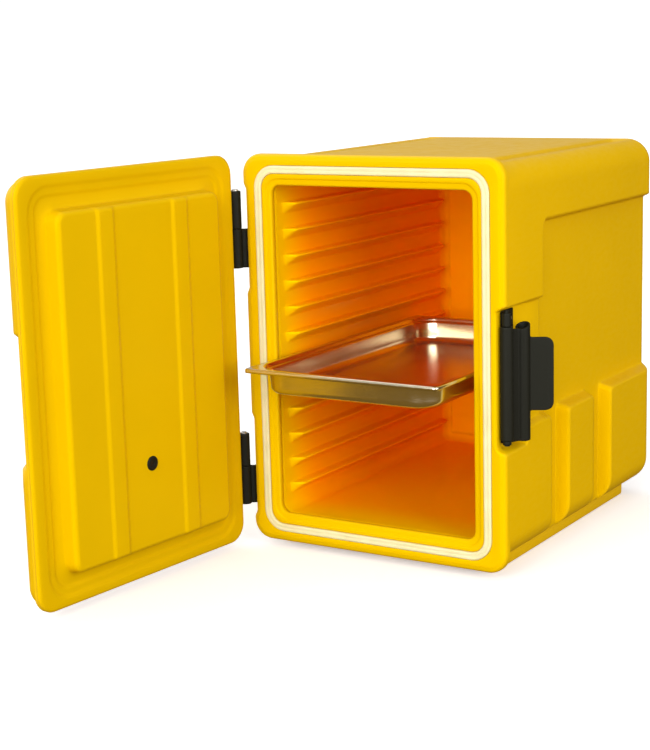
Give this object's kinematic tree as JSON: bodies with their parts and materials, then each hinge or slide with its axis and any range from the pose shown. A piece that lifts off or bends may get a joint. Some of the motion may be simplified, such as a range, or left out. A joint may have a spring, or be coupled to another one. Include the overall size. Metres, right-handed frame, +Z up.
{
  "type": "insulated food carrier",
  "caption": "Front-loading double-walled food carrier: hinged sealed door, side latch, moulded pan runners and a steel pan that slides out.",
  "frame": {"origin": "middle of the centre skid's underside, on the surface that the carrier stands on", "axes": "+X to the right seen from the door side, -Y to the front, +Z up"},
  "size_m": [0.565, 1.0292, 0.612],
  "materials": {
    "shell_yellow": "satin moulded polyethylene, fine grain",
    "frame_yellow": "satin moulded polyethylene",
    "liner_yellow": "satin moulded polyethylene",
    "foam": "rigid foam, closed inside the walls",
    "seal_cream": "smooth silicone",
    "black_plastic": "matt moulded polyamide",
    "fastener_steel": "plain stainless",
    "pan_steel": "drawn and polished stainless sheet"
  },
  "bodies": {
    "carrier": {"outer_shell": "shell_yellow", "insulation": "foam", "inner_liner": "liner_yellow", "runner_left_1": "liner_yellow", "runner_left_2": "liner_yellow", "runner_left_3": "liner_yellow", "runner_left_4": "liner_yellow", "runner_left_5": "liner_yellow", "runner_left_6": "liner_yellow", "runner_left_7": "liner_yellow", "runner_left_8": "liner_yellow", "runner_left_9": "liner_yellow", "runner_left_10": "liner_yellow", "runner_left_11": "liner_yellow", "runner_left_12": "liner_yellow", "runner_right_1": "liner_yellow", "runner_right_2": "liner_yellow", "runner_right_3": "liner_yellow", "runner_right_4": "liner_yellow", "runner_right_5": "liner_yellow", "runner_right_6": "liner_yellow", "runner_right_7": "liner_yellow", "runner_right_8": "liner_yellow", "runner_right_9": "liner_yellow", "runner_right_10": "liner_yellow", "runner_right_11": "liner_yellow", "runner_right_12": "liner_yellow", "front_frame": "frame_yellow", "door_gasket": "seal_cream", "hinge_leaf_upper": "black_plastic", "hinge_leaf_lower": "black_plastic", "hinge_pin_upper": "fastener_steel", "hinge_pin_lower": "fastener_steel", "hinge_screw_upper_1": "fastener_steel", "hinge_screw_upper_2": "fastener_steel", "hinge_screw_lower_1": "fastener_steel", "hinge_screw_lower_2": "fastener_steel", "latch_base": "black_plastic", "latch_rod": "fastener_steel", "latch_screw_1": "fastener_steel", "latch_screw_2": "fastener_steel", "latch_screw_3": "fastener_steel"},
    "door": {"door_outer_shell": "shell_yellow", "door_inner_panel": "frame_yellow", "door_insulation": "foam", "vent_plug": "black_plastic", "vent_cap": "black_plastic", "door_leaf_upper": "black_plastic", "door_leaf_lower": "black_plastic", "door_screw_upper_1": "fastener_steel", "door_screw_upper_2": "fastener_steel", "door_screw_lower_1": "fastener_steel", "door_screw_lower_2": "fastener_steel"},
    "latch": {"latch_lever": "black_plastic"},
    "pan": {"gn_pan": "pan_steel"}
  },
  "joints": [
    {"name": "door_hinge", "type": "hinge", "parent": "carrier", "child": "door", "pos_m": [-0.23, -0.2925, 0.311], "axis": [0, 0, -1], "range_deg": [-95, 125]},
    {"name": "latch_pivot", "type": "hinge", "parent": "carrier", "child": "latch", "pos_m": [0.2165, -0.275, 0.286], "axis": [0, 0, 1], "range_deg": [-154.7, 6]},
    {"name": "pan_slide", "type": "slide", "parent": "carrier", "child": "pan", "axis": [0, -1, 0], "range_m": [-0.1195, 0.1572]}
  ],
  "couplings": [
    {"joint": "pan_slide", "follows": "door_hinge", "m_per_rad": 0.072}
  ]
}
